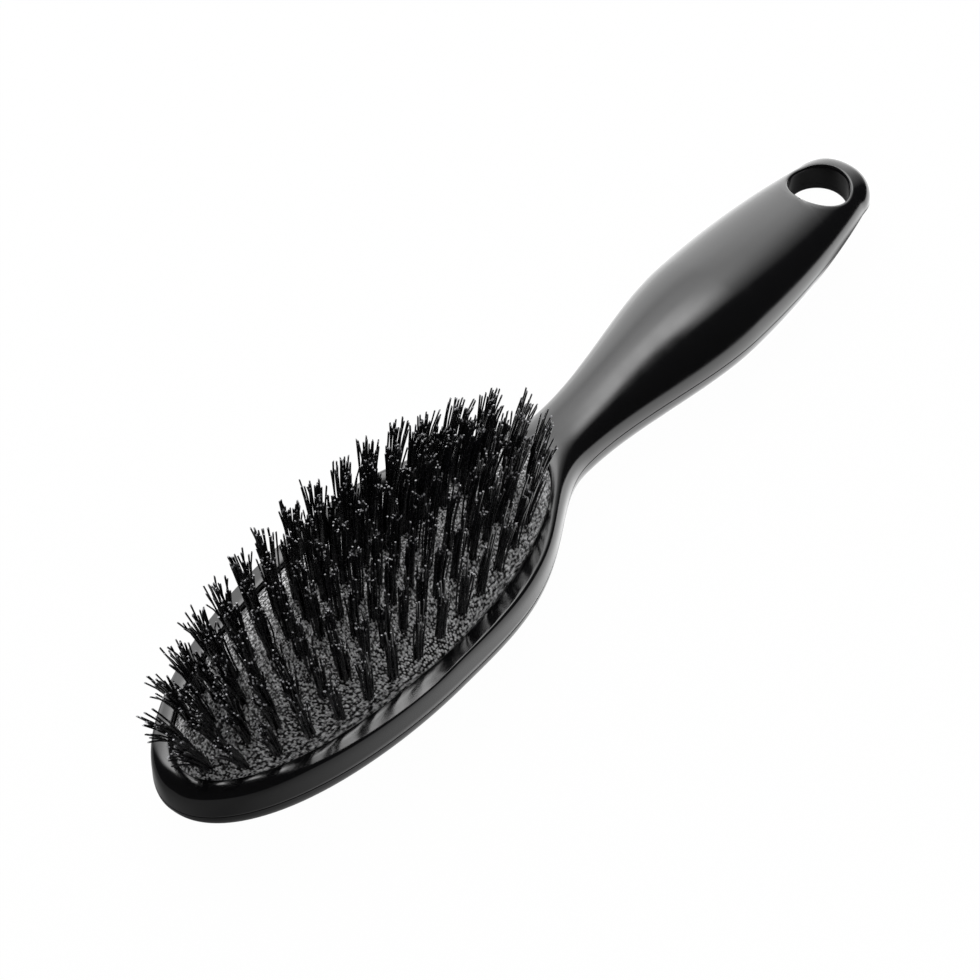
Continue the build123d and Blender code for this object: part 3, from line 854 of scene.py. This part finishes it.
def softbox():
    """A tall curved softbox on the far side that leans over the brush, brightest near its upper edge."""
    bpy.ops.object.select_all(action="DESELECT")
    bpy.ops.mesh.primitive_grid_add(x_subdivisions=48, y_subdivisions=24, size=1)
    box = start_object("softbox")
    for vertex in box.data.vertices:
        turn = math.radians(SOFTBOX_FROM + (SOFTBOX_TO - SOFTBOX_FROM) * (vertex.co.x + 0.5))
        rise = math.radians(SOFTBOX_TOP * (vertex.co.y + 0.5))
        out = SOFTBOX_RADIUS * math.cos(rise)
        vertex.co = (out * math.cos(turn), out * math.sin(turn), SOFTBOX_RADIUS * math.sin(rise))
    material = bpy.data.materials.new("softbox light")
    material.use_nodes = True
    nodes, links = material.node_tree.nodes, material.node_tree.links
    nodes.clear()
    out = nodes.new("ShaderNodeOutputMaterial")
    glow = nodes.new("ShaderNodeEmission")
    place = nodes.new("ShaderNodeTexCoord")
    split = nodes.new("ShaderNodeSeparateXYZ")
    both = nodes.new("ShaderNodeMath")
    both.operation = "MULTIPLY"
    strength = nodes.new("ShaderNodeMath")
    strength.operation = "MULTIPLY"
    strength.inputs[1].default_value = SOFTBOX_STRENGTH
    links.new(place.outputs["UV"], split.inputs[0])
    links.new(graded(nodes, links, split.outputs["X"], SOFTBOX_SIDES), both.inputs[0])
    links.new(graded(nodes, links, split.outputs["Y"], SOFTBOX_RISE), both.inputs[1])
    links.new(both.outputs[0], strength.inputs[0])
    links.new(strength.outputs[0], glow.inputs["Strength"])
    links.new(glow.outputs[0], out.inputs["Surface"])
    dress(box, material)


ROOM_LEVEL, ROOM_IN_GLOSS, ROOM_SEEN = 0.45, 0.03, 1.0


def even_white(nodes, strength):
    """The shader output of an even white surround."""
    surround = nodes.new("ShaderNodeBackground")
    surround.inputs["Color"].default_value = (1, 1, 1, 1)
    surround.inputs["Strength"].default_value = strength
    return surround.outputs[0]


def studio():
    """White room: plain white to the eye, soft as light and nearly black in reflections."""
    world = bpy.data.worlds.new("studio")
    bpy.context.scene.world = world
    world.use_nodes = True
    nodes, links = world.node_tree.nodes, world.node_tree.links
    nodes.clear()
    out = nodes.new("ShaderNodeOutputWorld")
    reflected = nodes.new("ShaderNodeMixShader")
    seen = nodes.new("ShaderNodeMixShader")
    path = nodes.new("ShaderNodeLightPath")
    links.new(path.outputs["Is Glossy Ray"], reflected.inputs["Fac"])
    links.new(even_white(nodes, ROOM_LEVEL), reflected.inputs[1])
    links.new(even_white(nodes, ROOM_IN_GLOSS), reflected.inputs[2])
    links.new(path.outputs["Is Camera Ray"], seen.inputs["Fac"])
    links.new(reflected.outputs[0], seen.inputs[1])
    links.new(even_white(nodes, ROOM_SEEN), seen.inputs[2])
    links.new(seen.outputs[0], out.inputs["Surface"])


softbox()
studio()

camera_data = bpy.data.cameras.new("camera")
camera_data.lens = FOCAL_PIXELS * SENSOR / IMAGE_PIXELS
camera_data.sensor_width = SENSOR
camera_data.clip_start = 0.01
camera = bpy.data.objects.new("camera", camera_data)
bpy.context.scene.collection.objects.link(camera)
toward = Vector((
    math.sin(VIEW_AZIMUTH) * math.cos(VIEW_ELEVATION),
    -math.cos(VIEW_AZIMUTH) * math.cos(VIEW_ELEVATION),
    math.sin(VIEW_ELEVATION),
))
level_right = Vector((math.cos(VIEW_AZIMUTH), math.sin(VIEW_AZIMUTH), 0))
level_up = toward.cross(level_right)
right = level_right * math.cos(VIEW_ROLL) + level_up * math.sin(VIEW_ROLL)
up = toward.cross(right)
turned = Matrix((right, up, toward)).transposed().to_4x4()
camera.matrix_world = Matrix.Translation(VIEW_TARGET + toward * VIEW_DISTANCE) @ turned
bpy.context.scene.camera = camera
bpy.context.scene.view_settings.view_transform = "Standard"
